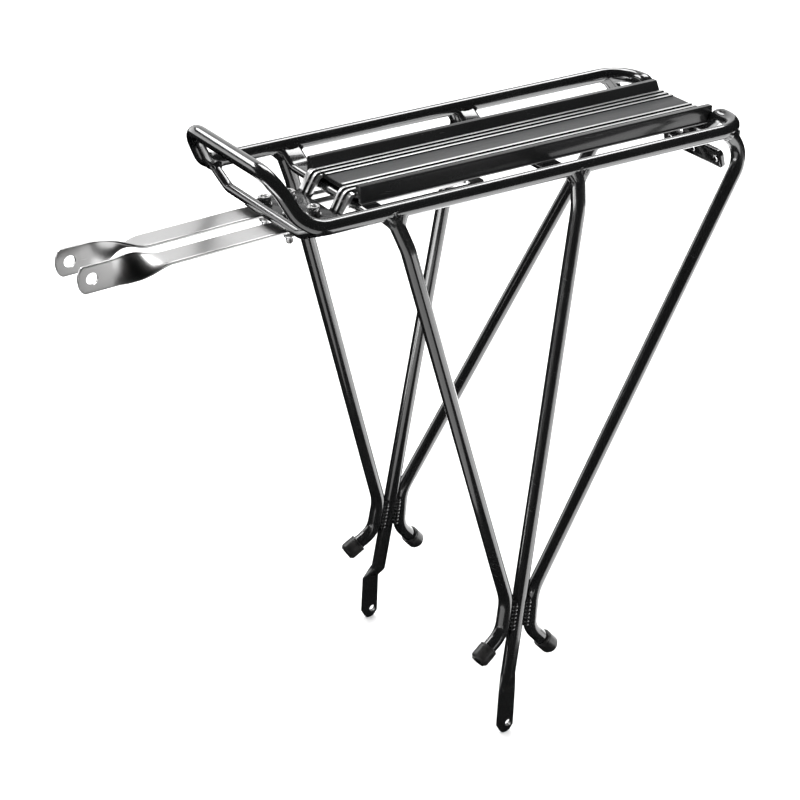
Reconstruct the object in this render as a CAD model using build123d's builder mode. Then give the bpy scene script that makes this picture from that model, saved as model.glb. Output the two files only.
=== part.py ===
from build123d import *

import os
from math import cos, radians, sin

# Bicycle rear rack: bent aluminium tubes, an extruded deck and two sliding steel stays.
# Frame, in millimetres: +X to the bicycle's rear, +Y to its right, +Z up.
# The origin is midway between the two dropout eyelets.

# ---- driving dimensions -------------------------------------------------------------------------
TUBE_R = 5.0  # outer radius of the loop's and the legs' tube
TUBE_WALL = 1.5

RAIL_Y = 68.0  # half the distance between the rails' centre lines
RAIL_Z = 392.3  # height of the rails' centre lines over the eyelets
REAR_X = 199.5  # centre line of the loop's rear cross part
REAR_BEND_R = 23.0

SEAT_Z = 385.2  # the deck's ridges stand on the crossbars and on the loop's rear part here
DECK_FRONT_X = -81.5
DECK_REAR_X = 199.0
DECK_BOTTOM_Z = 388.0
SHEET = 2.4  # thickness of the deck's floor, the tongues and the plate
FLOOR_Z = DECK_BOTTOM_Z + SHEET  # valleys between the ribs
BAND_Z = 391.2  # flat band in the middle
RIB_Z = 391.8
BAND_HALF = 8.4
RIB_WIDTH = 2.5
RIB_YS = (10.3, 15.6, 20.9)
RIDGE_HALF = 33.0  # outer face of the side ridges
RIDGE_Z = 396.8

PLATE_TOP_Z = 377.8  # the plate that holds the stays
PLATE_HALF = 27.5
PLATE_FRONT_X = -131.5
PLATE_CORNER_R = 4.0
TONGUE_IN = 13.0  # each tongue runs from here
TONGUE_OUT = 26.5  # to here, counted from the middle
TONGUE_FOOT_X = -91.4
TONGUE_BEND_R = 3.6

STAY_Y = 15.5
STAY_WIDTH = 18.0
STAY_THICK = 2.0
STAY_REAR_X = 22.0
STAY_BEND_X = -142.0  # forward of here each stay slopes down
STAY_SLOPE = 1.75  # degrees
TWIST_START = 67.0  # these five count forward from the bend
TWIST_END = 105.0
STAY_HOLE = 118.0
STAY_SHOULDER = 123.0
STAY_TIP = 127.2
STAY_HOLE_R = 4.0
SLOT_R = 3.0
SLOT_FRONT_X = -125.5  # centres of the slot's round ends
SLOT_REAR_X = 9.0
CLAMP_GAP = 0.2  # free space over and under each stay

BOLT_XS = (-123.4, -105.6)
BOLT_R = 2.5
BOLT_LENGTH = 16.0
HEAD_R = 4.25
HEAD_HEIGHT = 5.0
HEX_SOCKET = 4.0  # across flats
SOCKET_DEPTH = 2.6
PLATE_HOLE_R = 2.75
WASHER_R = 5.0
WASHER_HOLE_R = 2.65
WASHER_THICK = 1.0
NUT_FLATS = 8.0
NUT_HEIGHT = 5.0

ROD_R = 3.2
ROD_X = -132.2
ROD_Z = 381.2

BAR_XS = {"crossbar_front": -76.0, "crossbar_middle": 62.0}
BAR_WIDTH = 15.0
BAR_HEIGHT = 6.0

TAB_Y = 89.5  # middle of the flattened tab
TAB_THICK = 3.0
TAB_TOP_X = -0.9  # the tab's middle at its top
TAB_TOP_WIDTH = 12.6
TAB_TOP_Z = 27.0
TAB_FRONT = [(-8.9, -0.5), (-6.4, -5.0)]  # x and z of the corners at the tab's end
TAB_END = (-2.7, -6.9)
TAB_REAR = [(1.4, -6.0), (4.2, -2.6)]
PRESS_X = 0.8  # halfway between round and flat
PRESS_Y = 87.2
PRESS_Z = 31.5
EYELET_R = 2.65

CAP_R = 6.6
CAP_LENGTH = 12.5
CAP_END = 3.0  # rubber past the tube's end
CAP_FILLET = 2.2

BRACKET_HOLE = (212.2, 353.3)  # x and z of the line through the lamp holes
BRACKET_LEAN = 14.0  # degrees from upright
BRACKET_THICK = 2.5
BRACKET_HALF = 32.5
BRACKET_LOW = 5.6
BRACKET_HIGH = 8.2
BRACKET_WEB_HALF = 8.0
BRACKET_WEB_TOP = 28.0
LAMP_HOLE_YS = (-25.0, 0.0, 25.0)
LAMP_HOLE_R = 2.65

SIDES = {"left": -1, "right": 1}

os.makedirs("parts", exist_ok=True)


def save(part, name):
    """Label a finished piece and write its STEP file."""
    part.label = name
    export_step(part, f"parts/{name}.step")


def mirrored(points, side):
    """Points of the right-hand side, moved to the side asked for."""
    return [(x, side * y, z) for x, y, z in points]


def bent_bar(points, radii, radius, bore=0.0):
    """A round bar, or a tube with a bore, along straight runs joined by tangent arcs."""
    with BuildPart() as bar:
        with BuildLine() as path:
            FilletPolyline(*points, radius=radii)
        with BuildSketch(Plane(path.line @ 0, z_dir=path.line % 0)):
            Circle(radius)
            if bore:
                Circle(bore, mode=Mode.SUBTRACT)
        sweep(path=path.line)
    return bar.part


# ---- top loop -----------------------------------------------------------------------------------
# Half of the loop, from the joint under the deck to the middle of the raised hoop.
CROSS_Z = SEAT_Z - TUBE_R - 0.05
JOINT_GAP = 0.5
half_loop = [
    (REAR_X, JOINT_GAP / 2, CROSS_Z),
    (REAR_X, 27.0, CROSS_Z),
    (REAR_X, 41.0, RAIL_Z),
    (REAR_X, RAIL_Y, RAIL_Z),
    (-132.7, RAIL_Y, RAIL_Z),
    (-142.6, 60.4, 398.8),
    (-156.0, 52.0, 425.2),
]
half_radii = [12.0, 8.0, REAR_BEND_R - 1.0, 18.0, 21.0, 22.0]
loop_points = mirrored(half_loop, -1) + mirrored(half_loop, 1)[::-1]
loop_radii = half_radii + half_radii[::-1]
loop_solid = bent_bar(loop_points, loop_radii, TUBE_R)
save(bent_bar(loop_points, loop_radii, TUBE_R, TUBE_R - TUBE_WALL), "top_loop")

WELD_HALF = 2.5
WELD_RISE = 0.8
with BuildPart() as loop_butt_weld:
    with BuildSketch(Plane.YZ.offset(REAR_X)):
        with BuildLine():
            Polyline(
                (-JOINT_GAP / 2, CROSS_Z + TUBE_R - TUBE_WALL),
                (-JOINT_GAP / 2, CROSS_Z + TUBE_R),
                (-WELD_HALF, CROSS_Z + TUBE_R),
            )
            ThreePointArc(
                (-WELD_HALF, CROSS_Z + TUBE_R),
                (0, CROSS_Z + TUBE_R + WELD_RISE),
                (WELD_HALF, CROSS_Z + TUBE_R),
            )
            Polyline(
                (WELD_HALF, CROSS_Z + TUBE_R),
                (JOINT_GAP / 2, CROSS_Z + TUBE_R),
                (JOINT_GAP / 2, CROSS_Z + TUBE_R - TUBE_WALL),
                (-JOINT_GAP / 2, CROSS_Z + TUBE_R - TUBE_WALL),
            )
        make_face()
    revolve(axis=Axis((REAR_X, 0, CROSS_Z), (0, 1, 0)))
save(loop_butt_weld.part, "loop_butt_weld")

# ---- legs ---------------------------------------------------------------------------------------
# Right-hand points from the foot up. The last one lies just inside the loop's tube, which cuts it.
FRONT_LEG = [
    (-23.8, 86.4, 55.8),
    (-2.2, 83.4, 70.0),
    (2.0, 82.2, 95.0),
    (-71.15, 71.6, 366.0),
    (-81.0, 68.3, 391.3),
]
FRONT_RADII = [18.0, 30.0, 40.0]
MIDDLE_LEG = [
    (3.2, 84.75, 37.0),
    (59.0, 72.1, 366.0),
    (60.0, 68.3, 391.3),
]
MIDDLE_RADII = [60.0]
REAR_LEG = [
    (38.7, 86.1, 46.9),
    (20.4, 83.8, 68.0),
    (23.3, 83.6, 97.0),
    (199.2, 68.2, 374.3),
    (184.0, 66.8, 391.3),
]
REAR_RADII = [18.0, 30.0, 20.0]
LEGS = {
    "front": (FRONT_LEG, FRONT_RADII),
    "middle": (MIDDLE_LEG, MIDDLE_RADII),
    "rear": (REAR_LEG, REAR_RADII),
}


def leg(kind, side, bore=0.0):
    """One leg's round tube, mitred to the loop."""
    points, radii = LEGS[kind]
    points = mirrored(points, side)
    if kind != "middle":
        end, bend = Vector(points[0]), Vector(points[1])
        points[0] = tuple(end + (bend - end).normalized() * CAP_END)
    with BuildPart() as tube:
        add(bent_bar(points, radii, TUBE_R, bore))
        add(loop_solid, mode=Mode.SUBTRACT)
    return tube.part


def flattened_tab(side):
    """The middle leg's lower end, pressed flat and drilled for the dropout bolt."""
    top, knee = (Vector(p) for p in mirrored(MIDDLE_LEG, side)[:2])
    front_top = TAB_TOP_X - TAB_TOP_WIDTH / 2
    rear_top = TAB_TOP_X + TAB_TOP_WIDTH / 2
    with BuildPart() as tab:
        with BuildSketch(Plane(top, x_dir=(1, 0, 0), z_dir=(knee - top).normalized())):
            RectangleRounded(2 * TUBE_R, 2 * TUBE_R, TUBE_R - 0.3)
        with BuildSketch(Plane((PRESS_X, side * PRESS_Y, PRESS_Z), x_dir=(1, 0, 0), z_dir=(0, 0, 1))):
            RectangleRounded(11.4, 6.6, 3.0)
        with BuildSketch(Plane((TAB_TOP_X, side * TAB_Y, TAB_TOP_Z), x_dir=(1, 0, 0), z_dir=(0, 0, 1))):
            RectangleRounded(TAB_TOP_WIDTH, TAB_THICK, TAB_THICK / 2 - 0.3)
        loft()
        with BuildSketch(Plane.XZ.offset(-side * TAB_Y)):
            with BuildLine():
                Polyline((front_top, TAB_TOP_Z), *TAB_FRONT)
                ThreePointArc(TAB_FRONT[-1], TAB_END, TAB_REAR[0])
                Polyline(*TAB_REAR, (rear_top, TAB_TOP_Z), (front_top, TAB_TOP_Z))
            make_face()
        extrude(amount=TAB_THICK / 2, both=True)
        with Locations(Plane.XZ.offset(-side * TAB_Y)):
            Cylinder(EYELET_R, 2 * TAB_THICK, mode=Mode.SUBTRACT)
    return tab.part


for side_name, side in SIDES.items():
    for kind in LEGS:
        with BuildPart() as leg_part:
            add(leg(kind, side, TUBE_R - TUBE_WALL))
            if kind == "middle":
                add(flattened_tab(side))
            if kind == "rear":
                add(leg("middle", side), mode=Mode.SUBTRACT)
        save(leg_part.part, f"{kind}_leg_{side_name}")

# ---- rubber caps on the flared tube ends --------------------------------------------------------
for side_name, side in SIDES.items():
    for kind in ("front", "rear"):
        end, bend = (Vector(p) for p in mirrored(LEGS[kind][0], side)[:2])
        with BuildPart(Plane(end, z_dir=(bend - end).normalized())) as cap:
            Cylinder(CAP_R, CAP_LENGTH, align=(Align.CENTER, Align.CENTER, Align.MIN))
            fillet(cap.edges().group_by(Axis((0, 0, 0), bend - end))[0], CAP_FILLET)
            with Locations((0, 0, CAP_END)):
                Cylinder(TUBE_R, CAP_LENGTH, align=(Align.CENTER, Align.CENTER, Align.MIN), mode=Mode.SUBTRACT)
        save(cap.part, f"{kind}_cap_{side_name}")

# ---- foot welds ---------------------------------------------------------------------------------
# Two seams on each foot, each with a bead on the outer and the inner side.
BEAD_R = 1.9
BEAD_OUT = 3.3
for side_name, side in SIDES.items():
    with BuildPart() as foot_weld:
        for other in ("front", "rear"):
            points = mirrored(LEGS[other][0], side)
            low, high = Vector(points[1]), Vector(points[2])
            base, knee = (Vector(p) for p in mirrored(MIDDLE_LEG, side)[:2])
            slope = (knee - base) / (knee.Z - base.Z)
            for offset in (-BEAD_OUT, BEAD_OUT):
                ends = []
                for z in (72.0, 93.0):
                    along = low + (high - low) * ((z - low.Z) / (high.Z - low.Z))
                    middle = base + slope * (z - base.Z)
                    ends.append((along + middle) / 2 + Vector(0, offset, 0))
                with BuildSketch(Plane(ends[0], z_dir=ends[1] - ends[0])):
                    Circle(BEAD_R)
                extrude(amount=(ends[1] - ends[0]).length)
        for kind in LEGS:
            add(leg(kind, side), mode=Mode.SUBTRACT)
    save(foot_weld.part, f"foot_weld_{side_name}")

# ---- front rod and crossbars --------------------------------------------------------------------
rod_points = [(ROD_X, -64.5, 389.4), (ROD_X, -46.0, ROD_Z), (ROD_X, 46.0, ROD_Z), (ROD_X, 64.5, 389.4)]
with BuildPart() as front_rod:
    add(bent_bar(rod_points, [16.0, 16.0], ROD_R))
    add(loop_solid, mode=Mode.SUBTRACT)
save(front_rod.part, "front_rod")

BAR_Z = SEAT_Z - BAR_HEIGHT / 2 - 0.05
for name, bar_x in BAR_XS.items():
    with BuildPart() as crossbar:
        with BuildLine(Plane.YZ.offset(bar_x)) as bar_path:
            FilletPolyline((-67.0, 391.0), (-52.0, BAR_Z), (52.0, BAR_Z), (67.0, 391.0), radius=14.0)
        with BuildSketch(Plane(bar_path.line @ 0, x_dir=(1, 0, 0), z_dir=bar_path.line % 0)):
            RectangleRounded(BAR_WIDTH, BAR_HEIGHT, BAR_HEIGHT / 2 - 0.05)
        sweep(path=bar_path.line)
        add(loop_solid, mode=Mode.SUBTRACT)
        for side in SIDES.values():
            add(leg("front" if name == "crossbar_front" else "middle", side), mode=Mode.SUBTRACT)
    save(crossbar.part, name)

# ---- deck ---------------------------------------------------------------------------------------
RIDGE_PROFILE = [
    (24.6, DECK_BOTTOM_Z),
    (24.6, FLOOR_Z),
    (27.6, 395.8),
    (28.6, RIDGE_Z),
    (32.2, RIDGE_Z),
    (RIDGE_HALF, RIDGE_Z - 0.8),
    (RIDGE_HALF, SEAT_Z + 1.4),
    (RIDGE_HALF + 1.0, SEAT_Z + 0.8),
    (RIDGE_HALF + 1.0, SEAT_Z),
    (30.2, SEAT_Z),
    (30.2, DECK_BOTTOM_Z),
]
# Middle line of the sheet, seen from the side: deck floor, tongue, plate.
FOLD = [
    (DECK_FRONT_X + 1.0, FLOOR_Z - SHEET / 2),
    (DECK_FRONT_X - 2.6, FLOOR_Z - SHEET / 2),
    (TONGUE_FOOT_X, PLATE_TOP_Z - SHEET / 2),
    (PLATE_FRONT_X, PLATE_TOP_Z - SHEET / 2),
]


def raised(points, rise):
    """A folded line moved outwards by rise, as the tongues' ribs lie over their sheet."""
    points = [Vector(*p) for p in points]
    normals = []
    for start, end in zip(points, points[1:]):
        run = (end - start).normalized()
        normals.append(Vector(run.Y, -run.X))
    moved = [points[0] + normals[0] * rise]
    for point, before, after in zip(points[1:], normals, normals[1:]):
        moved.append(point + (before + after) * (rise / (1 + before.dot(after))))
    moved.append(points[-1] + normals[-1] * rise)
    return [(p.X, p.Y) for p in moved]


RIB_RISE = (SHEET + RIB_Z - FLOOR_Z) / 2
with BuildPart() as deck_plate:
    # The extrusion: floor, middle band, ribs and side ridges.
    with BuildSketch(Plane.YZ.offset(DECK_FRONT_X)):
        with Locations((0, FLOOR_Z - SHEET / 2)):
            Rectangle(50.0, SHEET)
        with Locations((0, (FLOOR_Z + BAND_Z) / 2)):
            Rectangle(2 * BAND_HALF, BAND_Z - FLOOR_Z)
        with Locations(*[(side * y, (FLOOR_Z + RIB_Z) / 2) for side in (-1, 1) for y in RIB_YS]):
            Rectangle(RIB_WIDTH, RIB_Z - FLOOR_Z)
        for side in (-1, 1):
            with BuildLine():
                Polyline(*[(side * y, z) for y, z in RIDGE_PROFILE], close=True)
            make_face()
    extrude(amount=DECK_REAR_X - DECK_FRONT_X)
    # The two tongues with their ribs, and the plate.
    for side in (-1, 1):
        middle = side * (TONGUE_IN + TONGUE_OUT) / 2
        with BuildSketch(Plane.XZ.offset(-middle)):
            with BuildLine() as fold:
                FilletPolyline(*FOLD, radius=TONGUE_BEND_R)
            trace(fold.line, line_width=SHEET)
        extrude(amount=(TONGUE_OUT - TONGUE_IN) / 2, both=True)
        for rib_y in RIB_YS[1:]:
            with BuildSketch(Plane.XZ.offset(-side * rib_y)):
                with BuildLine() as rib_line:
                    FilletPolyline(*raised(FOLD[:3], RIB_RISE), radius=TONGUE_BEND_R + RIB_RISE)
                trace(rib_line.line, line_width=RIB_Z - FLOOR_Z)
            extrude(amount=RIB_WIDTH / 2, both=True)
    with BuildSketch(Plane.XY.offset(PLATE_TOP_Z)):
        plate_length = TONGUE_FOOT_X - 1.5 - PLATE_FRONT_X
        with Locations((PLATE_FRONT_X + plate_length / 2, 0)):
            RectangleRounded(plate_length, 2 * PLATE_HALF, PLATE_CORNER_R)
    extrude(amount=-SHEET)
    with Locations(*[(x, side * STAY_Y, PLATE_TOP_Z) for x in BOLT_XS for side in (-1, 1)]):
        Cylinder(PLATE_HOLE_R, 4 * SHEET, mode=Mode.SUBTRACT)
    add(loop_solid, mode=Mode.SUBTRACT)
save(deck_plate.part, "deck_plate")

# ---- lamp bracket -------------------------------------------------------------------------------
lean = radians(BRACKET_LEAN)
bracket_plane = Plane(
    (BRACKET_HOLE[0], 0, BRACKET_HOLE[1]), x_dir=(0, 1, 0), z_dir=(cos(lean), 0, sin(lean))
)
with BuildPart() as lamp_bracket:
    with BuildSketch(bracket_plane):
        with BuildLine():
            FilletPolyline(
                (-BRACKET_HALF, -BRACKET_LOW),
                (BRACKET_HALF, -BRACKET_LOW),
                (BRACKET_HALF, BRACKET_HIGH),
                (BRACKET_WEB_HALF, BRACKET_HIGH),
                (BRACKET_WEB_HALF, BRACKET_WEB_TOP),
                (-BRACKET_WEB_HALF, BRACKET_WEB_TOP),
                (-BRACKET_WEB_HALF, BRACKET_HIGH),
                (-BRACKET_HALF, BRACKET_HIGH),
                radius=3.6,
                close=True,
            )
        make_face()
        with Locations(*[(y, 0) for y in LAMP_HOLE_YS]):
            Circle(LAMP_HOLE_R, mode=Mode.SUBTRACT)
    extrude(amount=BRACKET_THICK / 2, both=True)
    add(loop_solid, mode=Mode.SUBTRACT)
    add(loop_butt_weld.part, mode=Mode.SUBTRACT)
save(lamp_bracket.part, "lamp_bracket")

# ---- stays --------------------------------------------------------------------------------------
STAY_Z = PLATE_TOP_Z - SHEET - CLAMP_GAP - STAY_THICK / 2
TWIST_STEPS = 8


def stay(side):
    """A flat bar: slotted rear, slight downward bend, quarter twist and an upright drilled tab."""
    slope = radians(STAY_SLOPE)
    forward = Vector(-cos(slope), 0, -sin(slope))
    over = Vector(-sin(slope), 0, cos(slope))
    outward = Vector(0, side, 0)
    bend = Vector(STAY_BEND_X, side * STAY_Y, STAY_Z)
    tab_plane = Plane(bend, x_dir=forward, z_dir=forward.cross(over))
    with BuildPart() as bar:
        with BuildSketch(Plane.XY.offset(STAY_Z)):
            round_x = STAY_REAR_X - STAY_WIDTH / 2
            with Locations((round_x, side * STAY_Y)):
                Circle(STAY_WIDTH / 2)
            with Locations(((round_x + STAY_BEND_X) / 2, side * STAY_Y)):
                Rectangle(round_x - STAY_BEND_X, STAY_WIDTH)
            with Locations(((SLOT_FRONT_X + SLOT_REAR_X) / 2, side * STAY_Y)):
                SlotCenterToCenter(SLOT_REAR_X - SLOT_FRONT_X, 2 * SLOT_R, mode=Mode.SUBTRACT)
        extrude(amount=STAY_THICK / 2, both=True)
        with BuildSketch(Plane(bend - forward * 0.1, x_dir=outward, z_dir=forward)):
            Rectangle(STAY_WIDTH, STAY_THICK)
        extrude(amount=TWIST_START + 0.1)
        for step in range(TWIST_STEPS + 1):
            share = step / TWIST_STEPS
            turn = radians(90) * share * share * (3 - 2 * share)
            along = bend + forward * (TWIST_START + (TWIST_END - TWIST_START) * share)
            width_dir = outward * cos(turn) - over * sin(turn)
            with BuildSketch(Plane(along, x_dir=width_dir, z_dir=forward)):
                Rectangle(STAY_WIDTH, STAY_THICK)
        loft()
        with BuildSketch(tab_plane):
            half = STAY_WIDTH / 2
            with BuildLine():
                Polyline((STAY_SHOULDER, -half), (TWIST_END, -half), (TWIST_END, half))
                Line((TWIST_END, half), (STAY_SHOULDER, half))
                ThreePointArc((STAY_SHOULDER, half), (STAY_TIP, 0), (STAY_SHOULDER, -half))
            make_face()
            with Locations((STAY_HOLE, 0)):
                Circle(STAY_HOLE_R, mode=Mode.SUBTRACT)
        extrude(amount=STAY_THICK / 2, both=True)
    return bar.part


for side_name, side in SIDES.items():
    save(stay(side), f"{side_name}_stay")

# ---- bolts, washers and nuts --------------------------------------------------------------------
bolt_places = [(x, side * STAY_Y) for x in BOLT_XS for side in (-1, 1)]
head_z = PLATE_TOP_Z + WASHER_THICK
clamp_z = STAY_Z - STAY_THICK / 2 - CLAMP_GAP - WASHER_THICK
nut_z = clamp_z - NUT_HEIGHT

with BuildPart() as stay_bolts:
    with BuildSketch(Plane.XY.offset(head_z)):
        with Locations(*bolt_places):
            Circle(HEAD_R)
    extrude(amount=HEAD_HEIGHT)
    chamfer(stay_bolts.faces().sort_by(Axis.Z)[-4:].edges(), 0.5)
    with BuildSketch(Plane.XY.offset(head_z)):
        with Locations(*bolt_places):
            Circle(BOLT_R)
    extrude(amount=-BOLT_LENGTH)
    with BuildSketch(Plane.XY.offset(head_z + HEAD_HEIGHT)):
        with Locations(*bolt_places):
            RegularPolygon(HEX_SOCKET / 2, 6, major_radius=False)
    extrude(amount=-SOCKET_DEPTH, mode=Mode.SUBTRACT)
save(stay_bolts.part, "stay_bolts")

for name, bottom in (("stay_washers", PLATE_TOP_Z), ("clamp_washers", clamp_z)):
    with BuildPart() as washers:
        with BuildSketch(Plane.XY.offset(bottom)):
            with Locations(*bolt_places):
                Circle(WASHER_R)
                Circle(WASHER_HOLE_R, mode=Mode.SUBTRACT)
        extrude(amount=WASHER_THICK)
    save(washers.part, name)

NUT_BORE_R = BOLT_R + 0.03
COLLAR_HEIGHT = 1.2
with BuildPart() as stay_nuts:
    with BuildSketch(Plane.XY.offset(clamp_z)):
        with Locations(*bolt_places):
            RegularPolygon(NUT_FLATS / 2, 6, major_radius=False)
    extrude(amount=COLLAR_HEIGHT - NUT_HEIGHT)
    with BuildSketch(Plane.XY.offset(nut_z + COLLAR_HEIGHT)):
        with Locations(*bolt_places):
            Circle(NUT_FLATS / 2 - 0.4)
    extrude(amount=-COLLAR_HEIGHT)
    with BuildSketch(Plane.XY.offset(clamp_z)):
        with Locations(*bolt_places):
            Circle(NUT_BORE_R)
    extrude(amount=-NUT_HEIGHT, mode=Mode.SUBTRACT)
save(stay_nuts.part, "stay_nuts")
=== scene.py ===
from math import ceil, cos, pi, radians, sin, sqrt, tan

import bmesh
import bpy
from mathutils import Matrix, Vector


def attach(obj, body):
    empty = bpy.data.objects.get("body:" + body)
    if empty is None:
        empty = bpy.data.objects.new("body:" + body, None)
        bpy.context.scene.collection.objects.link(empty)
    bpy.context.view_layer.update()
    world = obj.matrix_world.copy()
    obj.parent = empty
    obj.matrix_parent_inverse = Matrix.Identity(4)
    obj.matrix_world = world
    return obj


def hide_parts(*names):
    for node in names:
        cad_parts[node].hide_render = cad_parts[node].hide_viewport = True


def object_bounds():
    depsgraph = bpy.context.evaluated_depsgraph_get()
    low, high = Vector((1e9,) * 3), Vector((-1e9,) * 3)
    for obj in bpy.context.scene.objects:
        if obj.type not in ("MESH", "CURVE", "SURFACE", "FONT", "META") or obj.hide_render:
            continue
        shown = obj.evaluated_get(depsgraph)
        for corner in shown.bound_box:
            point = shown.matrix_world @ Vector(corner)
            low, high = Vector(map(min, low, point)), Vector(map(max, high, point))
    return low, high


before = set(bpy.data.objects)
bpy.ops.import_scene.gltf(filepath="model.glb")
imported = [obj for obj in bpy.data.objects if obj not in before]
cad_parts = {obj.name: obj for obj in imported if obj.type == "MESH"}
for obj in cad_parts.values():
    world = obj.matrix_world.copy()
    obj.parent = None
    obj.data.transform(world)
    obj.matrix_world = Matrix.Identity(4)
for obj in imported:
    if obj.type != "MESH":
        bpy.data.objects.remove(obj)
cad_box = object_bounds()
MM = 0.001  # lengths below are in millimetres, unless a comment says metres

# ---- camera -------------------------------------------------------------------------------------
camera = bpy.data.objects.new("camera", bpy.data.cameras.new("camera"))
bpy.context.scene.collection.objects.link(camera)
camera.location = (-0.80899, -1.22357, 0.95104)
camera.rotation_euler = (radians(63.2693), 0.0, radians(-32.4328))
camera.data.lens = 107.94
camera.data.sensor_width = 36.0
bpy.context.scene.camera = camera


# ---- node trees, in metres ----------------------------------------------------------------------
class Value:
    """One output of a node. Arithmetic on it adds Math nodes to its tree."""

    def __init__(self, tree, socket):
        self.tree = tree
        self.socket = socket

    def __add__(self, other):
        return self.tree.math("ADD", self, other)

    def __sub__(self, other):
        return self.tree.math("SUBTRACT", self, other)

    def __rsub__(self, other):
        return self.tree.math("SUBTRACT", other, self)

    def __mul__(self, other):
        return self.tree.math("MULTIPLY", self, other)

    def __truediv__(self, other):
        return self.tree.math("DIVIDE", self, other)

    def __gt__(self, other):
        return self.tree.math("GREATER_THAN", self, other)

    def __lt__(self, other):
        return self.tree.math("LESS_THAN", self, other)

    def __abs__(self):
        return self.tree.math("ABSOLUTE", self)

    __radd__ = __add__
    __rmul__ = __mul__


class Tree:
    """A node tree, for a material or for Geometry Nodes."""

    def __init__(self, tree):
        self.tree = tree

    def node(self, kind, sockets=None, **settings):
        """Adds a node: its settings first, then the values or links of its sockets."""
        made = self.tree.nodes.new(kind)
        for name, setting in settings.items():
            setattr(made, name, setting)
        for name, value in (sockets or {}).items():
            self.feed(made.inputs[name], value)
        return lambda output=0: Value(self, made.outputs[output])

    def feed(self, socket, value):
        if isinstance(value, Value):
            self.tree.links.new(value.socket, socket)
        else:
            socket.default_value = value

    def math(self, operation, *values):
        return self.node("ShaderNodeMath", dict(enumerate(values)), operation=operation)()


class Finish(Tree):
    """A material on Object coordinates, whose constants sit on the shader's own sockets."""

    def __init__(self, name, constants):
        self.material = bpy.data.materials.new(name)
        self.material.use_nodes = True
        super().__init__(self.material.node_tree)
        self.tree.nodes.clear()
        self.place = self.node("ShaderNodeTexCoord")("Object")
        self.surface = self.tree.nodes.new("ShaderNodeBsdfPrincipled")
        for socket, value in constants.items():
            self.surface.inputs[socket].default_value = value
        output = self.tree.nodes.new("ShaderNodeOutputMaterial")
        self.tree.links.new(self.surface.outputs[0], output.inputs[0])

    def axes(self):
        split = self.node("ShaderNodeSeparateXYZ", {0: self.place})
        return split(0), split(1), split(2)

    def grain(self, scale, stretch=(1, 1, 1), detail=2.0, turn=(0, 0, 0)):
        """Noise from 0 to 1; scale is in features per metre."""
        turned = self.node("ShaderNodeMapping", {0: self.place, "Rotation": turn})()
        spot = self.node("ShaderNodeMapping", {0: turned, "Scale": stretch})()
        return self.node("ShaderNodeTexNoise", {0: spot, "Scale": scale, "Detail": detail})(0)

    def ramp(self, value, low, high, at_low=0.0, at_high=1.0):
        sockets = {0: value, 1: low, 2: high, 3: at_low, 4: at_high}
        return self.node("ShaderNodeMapRange", sockets)()

    def band(self, value, low, high, soft):
        """1 between low and high, falling to 0 over soft on each side."""
        return self.ramp(value, low - soft, low) * self.ramp(value, high, high + soft, 1.0, 0.0)

    def mix(self, share, first, second):
        return self.node("ShaderNodeMix", {0: share, 6: first, 7: second}, data_type="RGBA")(2)

    def relief(self, height, depth, below=None):
        """A bump of the given depth in metres, over another one if there is one."""
        sockets = {"Height": height, "Distance": depth}
        if below:
            sockets["Normal"] = below
        return self.node("ShaderNodeBump", sockets)()

    def scratches(self, turn, keep):
        """Short straight hairlines in patches: 1 on a line, 0 beside it."""
        lines = self.grain(2600.0, (1, 1, 0.012), 0.0, turn)
        return self.ramp(lines, 0.74, 0.80) * self.ramp(self.grain(35.0), keep, keep + 0.06)

    def done(self, **links):
        for name, value in links.items():
            self.feed(self.surface.inputs[name.replace("_", " ")], value)
        return self.material


def grey(level, warm=0.0):
    return (level * (1 + warm), level, level * (1 - warm), 1.0)


def gloss_black(name, rough, peel_depth):
    """Stoved black paint over aluminium: a fine orange peel, hazy patches, hairlines, small chips."""
    paint = Finish(name, {"Coat Roughness": 0.05, "Coat IOR": 1.65, "IOR": 1.6})
    haze = paint.grain(22.0, detail=4.0)
    peel = paint.grain(950.0, detail=1.0)
    hairs = paint.scratches((1.1, 0.5, 0.0), 0.54)
    chips = (paint.grain(420.0) > 0.79) * (paint.grain(28.0) > 0.6)
    black = paint.mix(haze, grey(0.004), grey(0.011, -0.04))
    worn = paint.mix(chips, paint.mix(hairs * 0.3, black, grey(0.06)), grey(0.32))
    return paint.done(
        Base_Color=worn,
        Roughness=rough + haze * 0.12 + hairs * 0.18 + chips * 0.3,
        Metallic=chips * 0.8,
        Coat_Weight=0.85 - haze * 0.3,
        Normal=paint.relief(hairs + chips, -0.00001, paint.relief(peel, peel_depth)),
    )


# Places on the deck that its finish follows: widths are measured out from the middle.
DECK_FRONT_X = -0.0818
RIB_EDGES = ((0.0094, 0.0112), (0.0147, 0.0165), (0.0200, 0.0218))
RIB_TOP_Z = (0.3916, 0.3930)
BAND_HALF = 0.0086
BAND_Z = (0.3905, 0.3930)
# Where the tongue is painted bright, as a painted highlight.
TONGUE_Z = (0.3790, 0.3916)
TONGUE_X = (-0.0925, -0.0822)
# Thin bands of painted shade along the edges of the tongue's ribs.
TONGUE_RIB_EDGE_SHADE = ((0.0166, 0.0172), (0.0194, 0.0199), (0.0141, 0.0145), (0.0220, 0.0225))
# A line of painted highlight along the lip.
LIP_Z = (0.3850, 0.3858)
MASK_EDGE = 0.0002


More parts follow.
